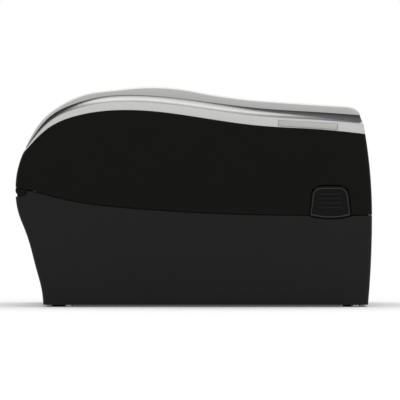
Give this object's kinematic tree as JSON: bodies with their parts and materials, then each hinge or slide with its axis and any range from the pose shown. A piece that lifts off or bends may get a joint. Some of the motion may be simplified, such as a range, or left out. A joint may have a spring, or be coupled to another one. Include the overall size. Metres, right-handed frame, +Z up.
{
  "type": "desktop label printer",
  "caption": "Desktop thermal label printer with a rear-hinged clamshell lid, a domed silver top with a rounded front, a roll bay with sliding holders, a geared platen and a sprung print head.",
  "frame": {"origin": "on the surface that the printer stands on, under the middle of the case", "axes": "+X towards the label exit, +Z up, Y across the printer; the lid's hinge is at -X"},
  "size_m": [0.252, 0.184, 0.1557],
  "materials": {
    "base_black": "fine grained black plastic",
    "lid_black": "fine grained black plastic",
    "inner_black": "moulded black plastic",
    "bezel_silver": "satin silver-coated plastic",
    "panel_silver": "brushed along the printer",
    "gasket": "matt",
    "button": "satin",
    "lamp": "frosted clear plastic",
    "feet": "matt",
    "screws": "zinc plated",
    "steel": "ground bar",
    "plate_steel": "zinc-plated sheet",
    "gear_white": "natural acetal",
    "holder_grey": "moulded grey plastic",
    "hub_blue": "moulded blue plastic",
    "latch_black": "fine grained black plastic",
    "platen_rubber": "ground smooth",
    "bearing": "sintered bronze",
    "motor": "black laminations",
    "head_ceramic": "glazed ceramic strip",
    "sink": "cast",
    "board_green": "circuit board",
    "chips": "moulded",
    "socket_black": "moulded",
    "socket_steel": "nickel plated",
    "tear_steel": "ground edge",
    "spring_steel": "spring wire"
  },
  "bodies": {
    "base": {"base_shell": "base_black", "bottom_plate": "inner_black", "rubber_feet": "feet", "case_screws": "screws", "media_deck": "inner_black", "pinion_screw": "screws", "sensor_rail": "steel", "drive_plate": "plate_steel", "idle_plate": "plate_steel", "platen_bearings": "bearing", "idler_post": "steel", "stepper_motor": "motor", "front_guide": "inner_black", "main_board": "board_green", "board_parts": "chips", "dc_jack": "socket_black", "usb_port": "socket_steel", "serial_port": "socket_steel", "power_switch_housing": "socket_black", "io_bracket": "plate_steel", "hinge_pins": "steel"},
    "lid": {"lid_shell": "lid_black", "top_bezel": "bezel_silver", "top_panel": "panel_silver", "panel_gasket": "gasket", "name_plate": "panel_silver", "light_pipes": "lamp", "button_board": "board_green", "head_carrier": "inner_black", "carrier_screws": "screws", "latch_pins": "steel", "head_pivot_pin": "steel", "head_springs": "spring_steel", "tear_bar": "tear_steel"},
    "latch_left": {"latch_left": "latch_black"},
    "latch_right": {"latch_right": "latch_black"},
    "feed_button": {"feed_button": "button"},
    "print_head": {"head_bracket": "plate_steel", "thermal_head": "head_ceramic", "heat_sink": "sink"},
    "platen": {"platen_shaft": "steel", "platen_rubber": "platen_rubber", "platen_gear": "gear_white"},
    "idler": {"idler_gear": "gear_white"},
    "motor_rotor": {"motor_shaft": "steel", "motor_pinion": "bearing"},
    "holder_left": {"roll_holder_left": "holder_grey"},
    "holder_right": {"roll_holder_right": "holder_grey"},
    "hub_left": {"hub_left": "hub_blue"},
    "hub_right": {"hub_right": "hub_blue"},
    "sync_pinion": {"sync_pinion": "gear_white"},
    "label_sensor": {"label_sensor": "socket_black"},
    "power_rocker": {"power_rocker": "socket_black"}
  },
  "joints": [
    {"name": "lid_hinge", "type": "hinge", "parent": "base", "child": "lid", "pos_m": [-0.1219, 0, 0.0825], "axis": [0, -1, 0], "range_deg": [0, 85]},
    {"name": "latch_left_press", "type": "hinge", "parent": "lid", "child": "latch_left", "pos_m": [0.0964, -0.0855, 0.083], "axis": [1, 0, 0], "range_deg": [0, 6], "stiffness_Nm_per_rad": 0.3, "springref_deg": -17.19},
    {"name": "latch_right_press", "type": "hinge", "parent": "lid", "child": "latch_right", "pos_m": [0.0964, 0.0855, 0.083], "axis": [-1, 0, 0], "range_deg": [0, 6], "stiffness_Nm_per_rad": 0.3, "springref_deg": -17.19},
    {"name": "feed_button_press", "type": "slide", "parent": "lid", "child": "feed_button", "axis": [-0.0669, 0, -0.9978], "range_m": [0, 0.0012], "stiffness_N_per_m": 600, "springref_m": -0.0006},
    {"name": "head_pivot", "type": "hinge", "parent": "lid", "child": "print_head", "pos_m": [0.08, 0, 0.08], "axis": [0, -1, 0], "range_deg": [0, 3], "stiffness_Nm_per_rad": 3, "springref_deg": -8.59, "deforming": ["head_springs"]},
    {"name": "platen_spin", "type": "hinge", "parent": "base", "child": "platen", "pos_m": [0.104, 0, 0.0565], "axis": [0, 1, 0], "continuous": true},
    {"name": "idler_spin", "type": "hinge", "parent": "base", "child": "idler", "pos_m": [0.09602, 0.077, 0.04171], "axis": [0, 1, 0], "continuous": true},
    {"name": "motor_spin", "type": "hinge", "parent": "base", "child": "motor_rotor", "pos_m": [0.076, 0.077, 0.03], "axis": [0, 1, 0], "continuous": true},
    {"name": "holder_left_slide", "type": "slide", "parent": "base", "child": "holder_left", "axis": [0, -1, 0], "range_m": [-0.036, 0.008]},
    {"name": "holder_right_slide", "type": "slide", "parent": "base", "child": "holder_right", "axis": [0, 1, 0], "range_m": [-0.036, 0.008]},
    {"name": "sync_pinion_spin", "type": "hinge", "parent": "base", "child": "sync_pinion", "pos_m": [-0.0535, 0, 0.0114], "axis": [0, 0, 1], "range_deg": [-235, 55]},
    {"name": "hub_left_spin", "type": "hinge", "parent": "holder_left", "child": "hub_left", "pos_m": [-0.0535, -0.048, 0.0835], "axis": [0, 1, 0], "continuous": true},
    {"name": "hub_right_spin", "type": "hinge", "parent": "holder_right", "child": "hub_right", "pos_m": [-0.0535, 0.048, 0.0835], "axis": [0, 1, 0], "continuous": true},
    {"name": "sensor_slide", "type": "slide", "parent": "base", "child": "label_sensor", "axis": [0, 1, 0], "range_m": [-0.038, 0.038]},
    {"name": "power_rocker_tilt", "type": "hinge", "parent": "base", "child": "power_rocker", "pos_m": [-0.1013, -0.042, 0.018], "axis": [0, -1, 0], "range_deg": [0, 14]}
  ],
  "couplings": [
    {"joint": "idler_spin", "follows": "platen_spin", "ratio": -1.625},
    {"joint": "motor_spin", "follows": "platen_spin", "ratio": 5.1071},
    {"joint": "holder_right_slide", "follows": "holder_left_slide", "ratio": 1},
    {"joint": "sync_pinion_spin", "follows": "holder_left_slide", "rad_per_m": 111.11}
  ]
}
